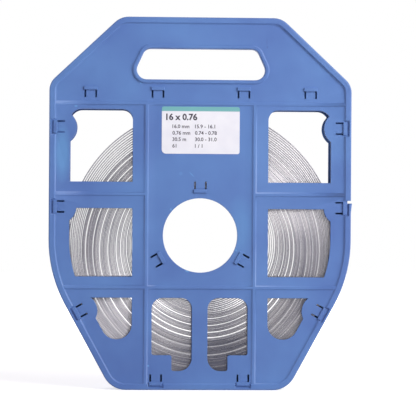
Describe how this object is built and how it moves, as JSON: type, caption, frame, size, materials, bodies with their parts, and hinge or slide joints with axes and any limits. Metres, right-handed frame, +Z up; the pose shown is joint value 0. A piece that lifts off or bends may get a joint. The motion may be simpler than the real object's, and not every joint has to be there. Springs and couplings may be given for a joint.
{
  "type": "roll of stainless steel banding in a carrying case",
  "caption": "Flat eight-sided plastic carrying case with hand hole, windows and hub bore, holding a loose coil of steel banding.",
  "frame": {"origin": "on the floor under the middle of the case, which stands on its bottom edge", "axes": "+Z up towards the hand hole, +X to the side with the band slot, +Y towards the back shell; the labelled front faces -Y"},
  "size_m": [0.2849, 0.028, 0.35],
  "materials": {
    "case_blue": "moulded polypropylene, satin",
    "stainless_band": "rolled, bright edges",
    "label_paper": "coated paper"
  },
  "bodies": {
    "root": {"front_shell": "case_blue", "back_shell": "case_blue", "banding_coil": "stainless_band", "label": "label_paper"}
  },
  "joints": []
}
